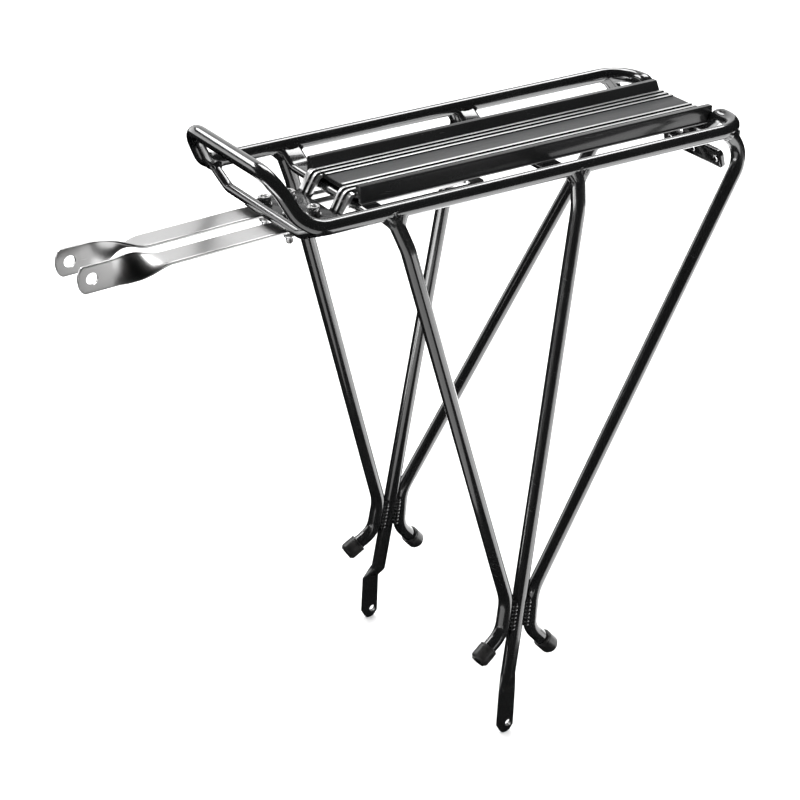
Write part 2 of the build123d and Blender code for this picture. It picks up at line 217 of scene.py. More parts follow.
def deck_black():
    """Black extrusion: bright cut tops on the ribs, a grey satin band, die lines along it, a painted
    highlight on the tongue and along the lip, and painted shade on the tongue's rib edges.
    """
    constants = {"Coat Roughness": 0.12, "Coat IOR": 1.5, "IOR": 1.55, "Specular IOR Level": 0.22}
    deck = Finish("deck_extrusion", constants)
    x, y, z = deck.axes()
    out = abs(y)
    behind_front = x > DECK_FRONT_X
    ribs = sum(deck.band(out, *edges, MASK_EDGE) for edges in RIB_EDGES)
    rib_top = ribs * deck.band(z, *RIB_TOP_Z, MASK_EDGE) * behind_front
    band = (out < BAND_HALF) * deck.band(z, *BAND_Z, MASK_EDGE) * behind_front
    # Painted highlight: the tongue is coloured bright metal for the reflection it shows.
    tongue = deck.band(z, *TONGUE_Z, 2 * MASK_EDGE) * deck.band(x, *TONGUE_X, 1.5 * MASK_EDGE)
    # Painted shade: dark lines along the tongue's rib edges, left out of its painted highlight.
    rib_edge_shade = sum(deck.band(out, *edges, MASK_EDGE) for edges in TONGUE_RIB_EDGE_SHADE)
    bright = rib_top + tongue * (1 - rib_edge_shade)
    die = deck.grain(1500.0, (0.01, 1, 1), 2.0)
    fine = deck.grain(5200.0, detail=1.0)
    haze = deck.grain(16.0, detail=4.0)
    hairs = deck.scratches((0.0, 1.45, 0.1), 0.57)
    lip = deck.band(z, *LIP_Z, 1.5 * MASK_EDGE)
    dark = deck.mix(haze, grey(0.006), grey(0.016, -0.03))
    satin = deck.mix(die, grey(0.016, -0.03), grey(0.04, -0.03))
    colour = deck.mix(band, dark, satin)
    # Painted highlight: a lighter grey line along the lip.
    colour = deck.mix(lip * 0.5, colour, grey(0.22))
    colour = deck.mix(hairs * 0.25, colour, grey(0.12))
    # Bright metal for the cut rib tops, and as a painted highlight on the tongue.
    colour = deck.mix(bright, colour, deck.mix(die, grey(0.55), grey(0.85)))
    return deck.done(
        Base_Color=colour,
        Roughness=0.2 + band * 0.2 + die * 0.08 + hairs * 0.15 + bright * 0.06,
        Metallic=bright * 0.95,
        Coat_Weight=0.3 - band * 0.28 - bright * 0.02,
        Normal=deck.relief(fine * band, 0.00002, deck.relief(die, 0.000012)),
    )


def polished_steel():
    """Stainless strip: long grinding lines, a few stains and hairlines."""
    steel = Finish("polished_stainless", {"IOR": 2.2})
    lines = steel.grain(2600.0, (0.012, 1, 1), 3.0)
    broad = steel.grain(14.0, (0.4, 1, 1), 3.0)
    hairs = steel.scratches((0.2, 1.5, 0.3), 0.5)
    colour = steel.mix(broad, grey(0.5, 0.01), grey(0.68))
    colour = steel.mix(lines * 0.12, colour, grey(0.36))
    return steel.done(
        Base_Color=steel.mix(hairs * 0.5, colour, grey(0.9)),
        Roughness=0.24 + lines * 0.06 + broad * 0.06 + hairs * 0.08,
        Metallic=1.0,
        Normal=steel.relief(lines, 0.0000025, steel.relief(hairs, -0.000005)),
    )


def bolt_steel():
    """Bright turned steel with fine rings from the tool and darker spots."""
    steel = Finish("turned_stainless", {"IOR": 2.2})
    turned = steel.grain(5200.0, (1, 1, 0.2), 2.0)
    spots = steel.ramp(steel.grain(260.0, detail=3.0), 0.5, 0.75)
    return steel.done(
        Base_Color=steel.mix(spots, grey(0.72), grey(0.4, 0.03)),
        Roughness=0.18 + turned * 0.12 + spots * 0.15,
        Metallic=1.0,
        Normal=steel.relief(turned, 0.000006),
    )


def moulded_rubber():
    """Black rubber: fine pits, dusty patches."""
    rubber = Finish("moulded_rubber", {"IOR": 1.5})
    pits = rubber.grain(2600.0, detail=3.0)
    dust = rubber.ramp(rubber.grain(120.0, detail=5.0), 0.5, 0.8)
    return rubber.done(
        Base_Color=rubber.mix(dust * 0.5, grey(0.008), grey(0.045, 0.05)),
        Roughness=0.27 + dust * 0.2 + pits * 0.08,
        Normal=rubber.relief(pits, 0.00002),
    )


# ---- building pieces ----------------------------------------------------------------------------
SMOOTH_UNDER = radians(34)
SAME_POINT = 1e-7  # metres


def as_piece(name, bm, material):
    mesh = bpy.data.meshes.new(name)
    bm.to_mesh(mesh)
    bm.free()
    mesh.materials.append(material)
    mesh.polygons.foreach_set("use_smooth", [True] * len(mesh.polygons))
    mesh.set_sharp_from_angle(angle=SMOOTH_UNDER)
    piece = bpy.data.objects.new(name, mesh)
    bpy.context.scene.collection.objects.link(piece)
    return piece


def settle(piece):
    """Turns what a piece's modifiers make into its plain mesh, with its faces pointing outwards."""
    depsgraph = bpy.context.evaluated_depsgraph_get()
    mesh = bpy.data.meshes.new_from_object(piece.evaluated_get(depsgraph))
    piece.modifiers.clear()
    bm = bmesh.new()
    bm.from_mesh(mesh)
    bmesh.ops.remove_doubles(bm, verts=bm.verts, dist=SAME_POINT)
    bmesh.ops.recalc_face_normals(bm, faces=bm.faces)
    bm.to_mesh(mesh)
    bm.free()
    mesh.polygons.foreach_set("use_smooth", [True] * len(mesh.polygons))
    mesh.set_sharp_from_angle(angle=SMOOTH_UNDER)
    piece.data = mesh
    return piece


def declare(piece, body, slot, *nodes):
    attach(piece, body)
    if nodes:
        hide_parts(*nodes)


def skin(name, rings, material, closed=False):
    """A skin over rings with equally many points, capped at both ends or closed on itself."""
    bm = bmesh.new()
    rows = [[bm.verts.new(Vector(point) * MM) for point in ring] for ring in rings]
    pairs = list(zip(rows, rows[1:]))
    if closed:
        pairs.append((rows[-1], rows[0]))
    else:
        bm.faces.new(rows[0])
        bm.faces.new(rows[-1])
    for low, high in pairs:
        for k in range(len(low)):
            bm.faces.new((low[k - 1], low[k], high[k], high[k - 1]))
    bmesh.ops.recalc_face_normals(bm, faces=bm.faces)
    return as_piece(name, bm, material)


def group(name, inputs):
    """An empty Geometry Nodes group with named inputs and a material, and its input node."""
    made = bpy.data.node_groups.new(name, "GeometryNodeTree")
    made.interface.new_socket("Geometry", in_out="INPUT", socket_type="NodeSocketGeometry")
    made.interface.new_socket("Geometry", in_out="OUTPUT", socket_type="NodeSocketGeometry")
    for label, kind in (inputs | {"Material": "Material"}).items():
        made.interface.new_socket(label, in_out="INPUT", socket_type="NodeSocket" + kind)
    tree = Tree(made)
    return tree, tree.node("NodeGroupInput")


def finish_group(tree, given, geometry):
    """Ends a group: instances made real, material set."""
    real = tree.node("GeometryNodeRealizeInstances", {0: geometry})()
    dressed = tree.node("GeometryNodeSetMaterial", {"Geometry": real, "Material": given("Material")})()
    tree.node("NodeGroupOutput", {0: dressed})
    return tree.tree


def grow(piece, tree, **inputs):
    """Runs a Geometry Nodes group on a piece and keeps the result as its mesh."""
    modifier = piece.modifiers.new("grow", "NODES")
    modifier.node_group = tree
    for item in tree.interface.items_tree:
        if item.name in inputs:
            modifier[item.identifier] = inputs[item.name]
    return settle(piece)


def wire(name, points, edges=()):
    """Bare vertices, with or without edges, for a Geometry Nodes group to grow on."""
    mesh = bpy.data.meshes.new(name)
    mesh.from_pydata([Vector(point) * MM for point in points], edges, [])
    piece = bpy.data.objects.new(name, mesh)
    bpy.context.scene.collection.objects.link(piece)
    return piece


def polyline(name, points, bends):
    """A line of vertices and edges, each vertex with the radius of its bend."""
    piece = wire(name, points, [(k, k + 1) for k in range(len(points) - 1)])
    bend = piece.data.attributes.new("bend", "FLOAT", "POINT")
    bend.data.foreach_set("value", [radius * MM for radius in bends])
    return piece


def bent_tube_group():
    """A round tube along a polyline, each corner rounded to its own bend radius."""
    tree, given = group("bent_tube", {"Radius": "Float", "Sides": "Int", "Arc Steps": "Int"})
    bend = tree.node("GeometryNodeInputNamedAttribute", {"Name": "bend"}, data_type="FLOAT")()
    line = tree.node("GeometryNodeMeshToCurve", {0: given("Geometry")})()
    sockets = {"Curve": line, "Count": given("Arc Steps"), "Radius": bend}
    path = tree.node("GeometryNodeFilletCurve", sockets, mode="POLY")()
    sockets = {"Resolution": given("Sides"), "Radius": given("Radius")}
    ring = tree.node("GeometryNodeCurvePrimitiveCircle", sockets)()
    sockets = {"Curve": path, "Profile Curve": ring, "Fill Caps": True}
    return finish_group(tree, given, tree.node("GeometryNodeCurveToMesh", sockets)())


BEAD_STEP = 0.0002  # metres between a bead's rings
BEAD_SIDES = 20
BEAD_END = 0.35  # size of a bead at its very end, as a share of its full size
BEAD_DRAW_IN = 9  # how fast a bead reaches its full size


def weld_bead_group():
    """A bead along a line, laid in overlapping ripples and drawn in at both ends."""
    tree, given = group("weld_bead", {"Radius": "Float", "Pitch": "Float", "Swell": "Float"})
    line = tree.node("GeometryNodeMeshToCurve", {0: given("Geometry")})()
    sockets = {"Curve": line, "Length": BEAD_STEP}
    path = tree.node("GeometryNodeResampleCurve", sockets, mode="LENGTH")()
    along = tree.node("GeometryNodeSplineParameter")
    ripple = tree.math("FRACT", along("Length") / given("Pitch"))
    lens = tree.math("SQRT", ripple * (1 - ripple) * 4)
    ends = tree.math("MINIMUM", along("Factor"), 1 - along("Factor")) * BEAD_DRAW_IN + BEAD_END
    size = (1 - given("Swell") + lens * given("Swell")) * tree.math("MINIMUM", ends, 1.0)
    sockets = {"Resolution": BEAD_SIDES, "Radius": given("Radius")}
    ring = tree.node("GeometryNodeCurvePrimitiveCircle", sockets)()
    sockets = {"Curve": path, "Profile Curve": ring, "Scale": size, "Fill Caps": True}
    return finish_group(tree, given, tree.node("GeometryNodeCurveToMesh", sockets)())


def fastener_group():
    """One fastener on every vertex, each turned by up to a sixth of a turn."""
    tree, given = group("fasteners", {"Fastener": "Object", "Seed": "Int"})
    fastener = tree.node("GeometryNodeObjectInfo", {"Object": given("Fastener")})("Geometry")
    sockets = {2: 0.0, 3: pi / 3, "Seed": given("Seed")}
    angle = tree.node("FunctionNodeRandomValue", sockets, data_type="FLOAT")(1)
    turn = tree.node("ShaderNodeCombineXYZ", {"Z": angle})()
    sockets = {"Points": given("Geometry"), "Instance": fastener, "Rotation": turn}
    return finish_group(tree, given, tree.node("GeometryNodeInstanceOnPoints", sockets)())


BENT_TUBE = bent_tube_group()
WELD_BEAD = weld_bead_group()
FASTENERS = fastener_group()

PAINT = gloss_black("gloss_black_paint", 0.14, 0.000012)
WELD_PAINT = gloss_black("gloss_black_weld", 0.15, 0.00001)
DECK = deck_black()
STAY_STEEL = polished_steel()
BOLT_STEEL = bolt_steel()
RUBBER = moulded_rubber()
SIDES = {"left": -1, "right": 1}


def mirrored(points, side):
    """Points of the right-hand side, moved to the side asked for."""
    return [(x, side * y, z) for x, y, z in points]


# ---- loop, legs and rod -------------------------------------------------------------------------
TUBE_R = 5.0
TUBE_SIDES = 56
ARC_STEPS = 22


def bent_tube(node, points, bends, radius):
    """The painted tube that takes a CAD node's place."""
    piece = polyline(f"{node}_tube", points, bends)
    inputs = {"Radius": radius * MM, "Sides": TUBE_SIDES, "Arc Steps": ARC_STEPS, "Material": PAINT}
    declare(grow(piece, BENT_TUBE, **inputs), "rack", "black_alloy", node)


RAIL_Y = 68.0
RAIL_Z = 392.3
REAR_X = 199.5
CROSS_Z = 380.15
HALF_LOOP = [
    (REAR_X, 0.0, CROSS_Z),
    (REAR_X, 27.0, CROSS_Z),
    (REAR_X, 41.0, RAIL_Z),
    (REAR_X, RAIL_Y, RAIL_Z),
    (-132.7, RAIL_Y, RAIL_Z),
    (-142.6, 60.4, 398.8),
    (-156.0, 52.0, 425.2),
]
HALF_LOOP_BENDS = [0.0, 12.0, 8.0, 22.0, 18.0, 21.0, 22.0]
loop = mirrored(HALF_LOOP, -1) + mirrored(HALF_LOOP, 1)[::-1]
bent_tube("top_loop", loop, HALF_LOOP_BENDS + HALF_LOOP_BENDS[::-1], TUBE_R)

# Each leg from its foot up to the rail; the last place is inside the rail.
LEGS = {
    "front": [
        (-23.8, 86.4, 55.8),
        (-2.2, 83.4, 70.0),
        (2.0, 82.2, 95.0),
        (-71.15, 71.6, 366.0),
        (-81.0, 68.3, 391.3),
    ],
    "middle": [
        (3.2, 84.75, 37.0),
        (59.0, 72.1, 366.0),
        (60.0, 68.3, 391.3),
    ],
    "rear": [
        (38.7, 86.1, 46.9),
        (20.4, 83.8, 68.0),
        (23.3, 83.6, 97.0),
        (199.2, 68.2, 374.3),
        (184.0, 66.8, 391.3),
    ],
}
BENDS = {"front": [0.0, 18.0, 30.0, 40.0, 0.0], "rear": [0.0, 18.0, 30.0, 20.0, 0.0]}
MIDDLE_BEND = 60.0
for side_name, side in SIDES.items():
    for kind, bends in BENDS.items():
        bent_tube(f"{kind}_leg_{side_name}", mirrored(LEGS[kind], side), bends, TUBE_R)

ROD_R = 3.2
ROD_X = -132.2
ROD_Z = 381.2
ROD_BEND = 16.0
ROD_BEND_Y = 46.0
ROD_END_Y = 64.5
ROD_END_Z = 389.4
half_rod = [(ROD_X, ROD_BEND_Y, ROD_Z), (ROD_X, ROD_END_Y, ROD_END_Z)]
rod = mirrored(half_rod, -1)[::-1] + half_rod
bent_tube("front_rod", rod, [0.0, ROD_BEND, ROD_BEND, 0.0], ROD_R)


BEND_STEP = radians(3)
ROUND = 2.0  # how square a section is: 2 is an ellipse
FLAT_EDGE = 7.0  # pressed tab
SHEARED_EDGE = 12.0  # flat bar


def rounded(points, radius):
    """Places and directions along two straight runs joined by one arc."""
    start, corner, end = (Vector(p) for p in points)
    before, after = (corner - start).normalized(), (end - corner).normalized()
    angle = before.angle(after)
    inward = (after - before * cos(angle)).normalized()
    arc_start = corner - before * radius * tan(angle / 2)
    centre = arc_start + inward * radius
    count = ceil(angle / BEND_STEP)
    stops = [(start, before)]
    for k in range(count + 1):
        turn = angle * k / count
        spot = centre + (before * sin(turn) - inward * cos(turn)) * radius
        stops.append((spot, before * cos(turn) + inward * sin(turn)))
    return stops + [(end, after)]


def oval(centre, normal, width_dir, half_width, half_thick, square, count=48):
    """A ring of points: an ellipse when square is 2, nearer a rectangle when it is more."""
    across = (width_dir - normal * width_dir.dot(normal)).normalized()
    over = normal.cross(across)
    ring = []
    for k in range(count):
        c, s = cos(2 * pi * k / count), sin(2 * pi * k / count)
        u = half_width * abs(c) ** (2 / square) * (1 if c > 0 else -1)
        v = half_thick * abs(s) ** (2 / square) * (1 if s > 0 else -1)
        ring.append(centre + across * u + over * v)
    return ring


def eased(share):
    return share * share * (3 - 2 * share)


def cut_out(piece, *cutters):
    """Takes the cutters out of a piece and throws them away."""
    for cutter in cutters:
        cut = piece.modifiers.new(cutter.name, "BOOLEAN")
        cut.object = cutter
        cut.solver = "EXACT"
    settle(piece)
    for cutter in cutters:
        bpy.data.objects.remove(cutter)


ALONG_X = Vector((1, 0, 0))
ALONG_Y = Vector((0, 1, 0))
UP = Vector((0, 0, 1))
TAB_Y = 89.5
TAB_HALF_THICK = 1.5
TAB_TOP_X = -0.9
TAB_TOP_Z = 27.0
TAB_TOP_HALF = 6.3
EYELET_R = 2.65
DRILL_REACH = 6
# Height, front edge and rear edge of the tab, from its rounded end upwards.
TAB_END = [
    (-6.85, -3.9, -1.5),
    (-6.6, -4.9, -0.1),
    (-6.0, -5.8, 1.4),
    (-5.0, -6.4, 2.2),
    (-2.6, -7.7, 4.1),
    (-0.5, -8.8, 4.3),
]
PRESS_STEPS = 12


def middle_leg(side_name, side):
    """A tube pressed flat at its foot, with an eyelet through the flat tab."""
    stops = rounded(mirrored(LEGS["middle"], side), MIDDLE_BEND)
    first, direction = stops[0]
    tab_top = Vector((TAB_TOP_X, side * TAB_Y, TAB_TOP_Z))
    rings = []
    for z, front, rear in TAB_END:
        spot = Vector(((front + rear) / 2, side * TAB_Y, z))
        rings.append(oval(spot, UP, ALONG_X, (rear - front) / 2, TAB_HALF_THICK, FLAT_EDGE))
    rings.append(oval(tab_top, UP, ALONG_X, TAB_TOP_HALF, TAB_HALF_THICK, FLAT_EDGE))
    for step in range(1, PRESS_STEPS):
        share = step / PRESS_STEPS
        soft = eased(share)
        spot = tab_top.lerp(first, share)
        normal = UP.lerp(direction, share).normalized()
        half_width = TAB_TOP_HALF + (TUBE_R - TAB_TOP_HALF) * soft
        half_thick = TAB_HALF_THICK + (TUBE_R - TAB_HALF_THICK) * soft
        square = FLAT_EDGE + (ROUND - FLAT_EDGE) * share**0.4
        rings.append(oval(spot, normal, ALONG_X, half_width, half_thick, square))
    rings += [oval(spot, heading, ALONG_X, TUBE_R, TUBE_R, ROUND) for spot, heading in stops]
    leg = skin(f"middle_leg_{side_name}_tube", rings, PAINT)
    ends = [Vector((0, side * TAB_Y + reach, 0)) for reach in (-DRILL_REACH, DRILL_REACH)]
    hole = [oval(end, ALONG_Y, ALONG_X, EYELET_R, EYELET_R, ROUND) for end in ends]
    cut_out(leg, skin("drill", hole, PAINT))
    declare(leg, "rack", "black_alloy", f"middle_leg_{side_name}")


for side_name, side in SIDES.items():
    middle_leg(side_name, side)


# ---- welds --------------------------------------------------------------------------------------
WELD_SIDES = 216
WELD_STEPS = 10
WELD_SINK = 0.12  # how far a weld's edges dip under the tubes they sit on
WELD_ROOT = 1.2  # how far its root reaches into the joint
WELD_WAIST = 0.55  # share of its depth at the middle of its face
RIPPLE_RISE = 0.75
RIPPLE_BASE = -0.2
BEAD_SWELL = 0.45


def joint_weld(name, end, along, half_x, half_over, rail_spot, rail_dir, toe_rail, toe_branch, pitch):
    """A rippled fillet weld where a branch of oval section runs into the loop's tube."""
    end, along = Vector(end), Vector(along).normalized()
    rail_spot, rail_dir = Vector(rail_spot), Vector(rail_dir).normalized()

    def from_rail(point):
        return point - (rail_spot + rail_dir * (point - rail_spot).dot(rail_dir))

    outline = oval(end - along * 30, along, rail_dir, half_x, half_over, ROUND, WELD_SIDES)
    run = along - rail_dir * along.dot(rail_dir)
    hits = []
    for point in outline:
        offset = from_rail(point)
        a, b, c = run.dot(run), 2 * offset.dot(run), offset.dot(offset) - TUBE_R**2
        hits.append(point + along * ((-b - sqrt(max(b * b - 4 * a * c, 0.0))) / (2 * a)))
    lengths = [0.0]
    for before, after in zip(hits, hits[1:] + hits[:1]):
        lengths.append(lengths[-1] + (after - before).length)
    ripples = round(lengths[-1] / pitch)
    rings = []
    for hit, length in zip(hits, lengths):
        outward = hit - end
        outward = (outward - along * outward.dot(along)).normalized()
        normal = from_rail(hit).normalized()
        toe = hit + (outward - normal * outward.dot(normal)).normalized() * toe_rail
        toe = toe - from_rail(toe) + from_rail(toe).normalized() * (TUBE_R - WELD_SINK)
        high = hit - along * toe_branch - outward * WELD_SINK
        middle = (toe + high) / 2
        puff = (middle - hit).normalized()
        waist = hit + (middle - hit) * WELD_WAIST
        wave = sqrt(abs(sin(pi * ripples * length / lengths[-1])))
        rise = wave * RIPPLE_RISE + RIPPLE_BASE
        ring = [hit - puff * WELD_ROOT]
        for step in range(WELD_STEPS + 1):
            share = step / WELD_STEPS
            spot = toe * (1 - share) ** 2 + waist * 2 * share * (1 - share) + high * share**2
            ring.append(spot + puff * rise * 4 * share * (1 - share))
        rings.append(ring)
    piece = skin(name, rings, WELD_PAINT, closed=True)
    declare(piece, "rack", "black_alloy")


def bead(name, lines, radius, pitch, *nodes):
    """Straight rippled beads joined into one piece."""
    ends = [point for line in lines for point in line]
    piece = wire(name, ends, [(k, k + 1) for k in range(0, len(ends), 2)])
    inputs = {"Radius": radius * MM, "Pitch": pitch * MM, "Swell": BEAD_SWELL, "Material": WELD_PAINT}
    declare(grow(piece, WELD_BEAD, **inputs), "rack", "black_alloy", *nodes)


BAR_XS = {"front": -76.0, "middle": 62.0}
BAR_HALF = 7.5
FOOT_BEAD_Z = (71.5, 93.5)
FOOT_BEAD_OUT = 3.1
for side_name, side in SIDES.items():
    rail = (0, side * RAIL_Y, RAIL_Z)
    for kind, spot, heading, toe_rail, toe_leg in (
        ("front", rail, (1, 0, 0), 4.6, 7.0),
        ("middle", rail, (1, 0, 0), 4.6, 7.0),
        ("rear", (184.0, side * 66.8, RAIL_Z), (0.957, side * -0.29, 0), 2.6, 3.0),
    ):
        bend, end = (Vector(p) for p in mirrored(LEGS[kind], side)[-2:])
        name = f"leg_weld_{kind}_{side_name}"
        joint_weld(name, end, end - bend, TUBE_R, TUBE_R, spot, heading, toe_rail, toe_leg, 3.0)
    for name, bar_x in BAR_XS.items():
        end, heading = (bar_x, side * 67.0, 391.0), (0, side * 15.0, 8.85)
        name = f"bar_weld_{name}_{side_name}"
        joint_weld(name, end, heading, BAR_HALF, 3.0, rail, (1, 0, 0), 2.6, 2.6, 2.4)
    end, heading = (ROD_X, side * ROD_END_Y, ROD_END_Z), (0, side * 18.5, 8.2)
    spot, tangent = (-131.9, side * 66.6, 393.0), (0.93, side * 0.28, -0.23)
    joint_weld(f"rod_weld_{side_name}", end, heading, ROD_R, ROD_R, spot, tangent, 2.4, 2.6, 2.2)
    lines = []
    base, knee = (Vector(p) for p in mirrored(LEGS["middle"], side)[:2])
    slope = (knee - base) / (knee.z - base.z)
    for other in ("front", "rear"):
        low, high = (Vector(p) for p in mirrored(LEGS[other], side)[1:3])
        for offset in (-FOOT_BEAD_OUT, FOOT_BEAD_OUT):
            line = []
            for z in FOOT_BEAD_Z:
                beside = low + (high - low) * ((z - low.z) / (high.z - low.z))
                line.append((beside + base + slope * (z - base.z)) / 2 + Vector((0, offset, 0)))
            lines.append(line)
    bead(f"foot_beads_{side_name}", lines, 2.5, 2.9, f"foot_weld_{side_name}")


# ---- pressed and extruded pieces ----------------------------------------------------------------
WELD_WITHIN = 2e-6  # metres
FLAT_UNDER = radians(0.6)
EDGE_OVER = radians(30)


def softened(node, name, slot, material, width):
    """A copy of a CAD node with its flat faces made whole and its sharp edges broken."""
    bm = bmesh.new()
    bm.from_mesh(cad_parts[node].data)
    bmesh.ops.remove_doubles(bm, verts=bm.verts, dist=WELD_WITHIN)
    bmesh.ops.dissolve_limit(bm, angle_limit=FLAT_UNDER, verts=bm.verts, edges=bm.edges)
    piece = as_piece(name, bm, material)
    bevel = piece.modifiers.new("edges", "BEVEL")
    bevel.width = width * MM
    bevel.segments = 2
    bevel.limit_method = "ANGLE"
    bevel.angle_limit = EDGE_OVER
    settle(piece)
    declare(piece, "rack", slot, node)


softened("deck_plate", "ribbed_deck", "deck_alloy", DECK, 0.3)
softened("lamp_bracket", "rear_lamp_bracket", "black_alloy", PAINT, 0.35)
for name in BAR_XS:
    softened(f"crossbar_{name}", f"flat_bar_{name}", "black_alloy", PAINT, 0.1)

# ---- stays --------------------------------------------------------------------------------------
STAY_Y = 15.5
STAY_Z = 374.2
STAY_HALF = 9.0
STAY_HALF_THICK = 1.0
STAY_REAR_X = 22.0
STAY_BEND_X = -142.0
STAY_SLOPE = radians(1.75)
SLOT_FRONT_X = -125.5
SLOT_REAR_X = 9.0
SLOT_R = 3.0
EYE_R = 4.0
CUT_REACH = 4
# Distances forward from the stay's slight bend.
TWIST_START = 67.0
TWIST_END = 105.0
TWIST_STEPS = 28
STAY_HOLE = 118.0
STAY_SHOULDER = 123.0
STAY_TIP = 127.2


def stay(side_name, side):
    """A flat bar with a rounded slotted rear, a slight bend, a quarter twist and a drilled tab."""
    forward = Vector((-cos(STAY_SLOPE), 0, -sin(STAY_SLOPE)))
    over = Vector((-sin(STAY_SLOPE), 0, cos(STAY_SLOPE)))
    outward = Vector((0, side, 0))
    bend = Vector((STAY_BEND_X, side * STAY_Y, STAY_Z))
    rings = []
    for angle in (4, 12, 22, 34, 48, 64, 80, 90):
        x = STAY_REAR_X - STAY_HALF + STAY_HALF * cos(radians(angle))
        half = STAY_HALF * sin(radians(angle))
        spot = Vector((x, side * STAY_Y, STAY_Z))
        rings.append(oval(spot, -ALONG_X, outward, half, STAY_HALF_THICK, SHEARED_EDGE))
    twist_run = TWIST_END - TWIST_START
    tip_run = STAY_TIP - STAY_SHOULDER
    twist = [TWIST_START + twist_run * k / TWIST_STEPS for k in range(TWIST_STEPS + 1)]
    tip = [STAY_SHOULDER + tip_run * sin(radians(angle)) for angle in (15, 32, 50, 66, 80, 87)]
    for place in [0.0, *twist, STAY_SHOULDER, *tip]:
        turn = radians(90) * eased(min(max((place - TWIST_START) / twist_run, 0), 1))
        reach = max(place - STAY_SHOULDER, 0) / tip_run
        half = STAY_HALF * sqrt(1 - reach * reach)
        width_dir = outward * cos(turn) - over * sin(turn)
        spot = bend + forward * place
        rings.append(oval(spot, forward, width_dir, half, STAY_HALF_THICK, SHEARED_EDGE))
    piece = skin(f"{side_name}_stay_bar", rings, STAY_STEEL)
    slot = []
    for centre, span in ((SLOT_FRONT_X, range(90, 271, 10)), (SLOT_REAR_X, range(-90, 91, 10))):
        for angle in span:
            x = centre + SLOT_R * cos(radians(angle))
            slot.append((x, side * STAY_Y + SLOT_R * sin(radians(angle))))
    slot_rings = [[(x, y, STAY_Z + z) for x, y in slot] for z in (-CUT_REACH, CUT_REACH)]
    eye = bend + forward * STAY_HOLE
    eye_spots = [eye + outward * y for y in (-CUT_REACH, CUT_REACH)]
    eye_rings = [oval(spot, outward, forward, EYE_R, EYE_R, ROUND) for spot in eye_spots]
    cut_out(piece, skin("slot", slot_rings, STAY_STEEL), skin("eye", eye_rings, STAY_STEEL))
    declare(piece, f"{side_name}_stay", "stay_steel", f"{side_name}_stay")


for side_name, side in SIDES.items():
    stay(side_name, side)


# ---- bolts, washers, nuts and caps --------------------------------------------------------------
TURNED_SIDES = 144
KNURL_DEPTH = 0.14
KNURL_HALF_COUNT = 18


def turned(name, profile, material, closed=False, spot=Vector((0, 0, 0)), axis=UP):
    """A turned piece from (height, radius, form): round, knurled, or hexagonal by its flats."""
    across = (ALONG_Y - axis * axis.y).normalized()
    over = axis.cross(across)
    rings = []
    for height, radius, form in profile:
        ring = []
        for k in range(TURNED_SIDES):
            angle = 2 * pi * k / TURNED_SIDES
            size = radius
            if form == "hex":
                size = radius / cos((angle + pi / 6) % (pi / 3) - pi / 6)
            if form == "knurl":
                size = radius - KNURL_DEPTH * abs(sin(KNURL_HALF_COUNT * angle))
            ring.append(spot + axis * height + (across * cos(angle) + over * sin(angle)) * size)
        rings.append(ring)
    return skin(name, rings, material, closed)


BOLT_XS = (-123.4, -105.6)


def fasteners(name, node, profile, closed, z, seed):
    """The same fastener in each of the four places, in place of a CAD node."""
    model = turned("fastener", profile, BOLT_STEEL, closed)
    piece = wire(name, [(x, side * STAY_Y, z) for x in BOLT_XS for side in (-1, 1)])
    grow(piece, FASTENERS, Fastener=model, Seed=seed, Material=BOLT_STEEL)
    bpy.data.objects.remove(model)
    declare(piece, "rack", "bolt_steel", node)


def all_round(profile):
    return [(height, radius, "round") for height, radius in profile]


PLATE_TOP_Z = 377.8
HEAD_Z = 378.8
CLAMP_Z = 372.0
THREAD_R = 2.5
THREAD_ROOT_R = 2.2
THREAD_LOW = -15.4
HALF_THREAD = 0.4
thread = [(THREAD_LOW + HALF_THREAD * k, THREAD_R if k % 2 else THREAD_ROOT_R, "round") for k in range(17)]
bolt_profile = [
    (-16.0, 0.3, "round"),
    (-16.0, 1.9, "round"),
    *thread,
    (-0.1, 2.5, "round"),
    (0.0, 4.1, "round"),
    (0.25, 4.25, "knurl"),
    (4.3, 4.25, "knurl"),
    (4.6, 4.1, "round"),
    (5.0, 3.7, "round"),
    (5.0, 2.5, "round"),
    (4.7, 2.05, "hex"),
    (2.5, 2.0, "hex"),
    (2.1, 0.3, "round"),
]
washer_profile = all_round([(0, 2.65), (0, 4.85), (0.15, 5.0), (0.85, 5.0), (1.0, 4.85), (1.0, 2.65)])
nut_profile = [
    (0.0, 2.53, "round"),
    (0.0, 3.8, "round"),
    (-0.35, 4.0, "hex"),
    (-3.5, 4.0, "hex"),
    (-3.8, 3.7, "round"),
    (-4.7, 3.6, "round"),
    (-5.0, 3.3, "round"),
    (-5.0, 2.53, "round"),
]
fasteners("socket_bolts", "stay_bolts", bolt_profile, False, HEAD_Z, 3)
fasteners("head_washers", "stay_washers", washer_profile, True, PLATE_TOP_Z, 4)
fasteners("under_washers", "clamp_washers", washer_profile, True, CLAMP_Z, 5)
fasteners("lock_nuts", "stay_nuts", nut_profile, True, CLAMP_Z, 6)

# Height and radius of a cap: its closed end, its groove near the mouth, then its inside.
cap_profile = all_round([
    (0.0, 0.3),
    (0.0, 4.3),
    (0.3, 4.9),
    (1.6, 6.2),
    (2.2, 6.5),
    (3.0, 6.6),
    (10.4, 6.6),
    (10.7, 6.35),
    (11.1, 6.35),
    (11.4, 6.6),
    (12.1, 6.55),
    (12.5, 6.2),
    (12.5, 5.3),
    (12.0, 5.02),
    (3.2, 5.02),
    (3.0, 0.3),
])
for side_name, side in SIDES.items():
    for kind in BENDS:
        end, bend = (Vector(p) for p in mirrored(LEGS[kind], side)[:2])
        name = f"{kind}_cap_{side_name}"
        cap = turned(f"{name}_boot", cap_profile, RUBBER, False, end, (bend - end).normalized())
        declare(cap, "rack", "cap_rubber", name)

